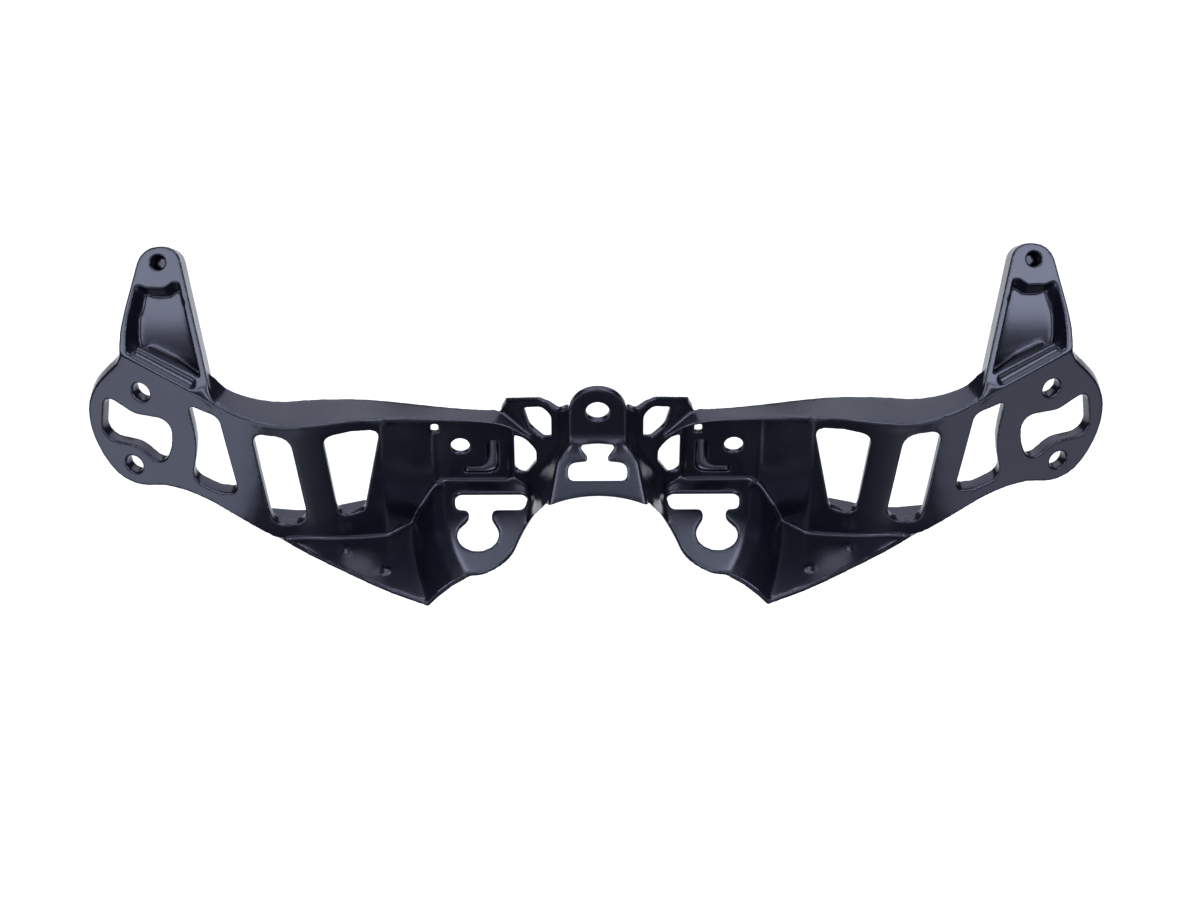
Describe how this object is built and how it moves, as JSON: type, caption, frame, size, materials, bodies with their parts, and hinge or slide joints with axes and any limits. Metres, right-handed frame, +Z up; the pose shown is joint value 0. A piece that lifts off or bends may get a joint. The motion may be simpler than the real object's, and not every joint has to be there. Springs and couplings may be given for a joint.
{
  "type": "motorcycle fairing stay",
  "caption": "One-piece cast bracket that carries a motorcycle's front fairing, mirrors, screen and instruments on a central bolt tab.",
  "frame": {"origin": "middle of the centre bolt hole, on the front face of its tab", "axes": "+X across the motorcycle to the right of the picture, +Y back from the viewer, through the bolt hole, +Z up"},
  "size_m": [0.4092, 0.0971, 0.1123],
  "materials": {
    "black_paint": "satin black paint over a smooth aluminium casting"
  },
  "bodies": {
    "root": {"fairing_stay": "black_paint"}
  },
  "joints": []
}
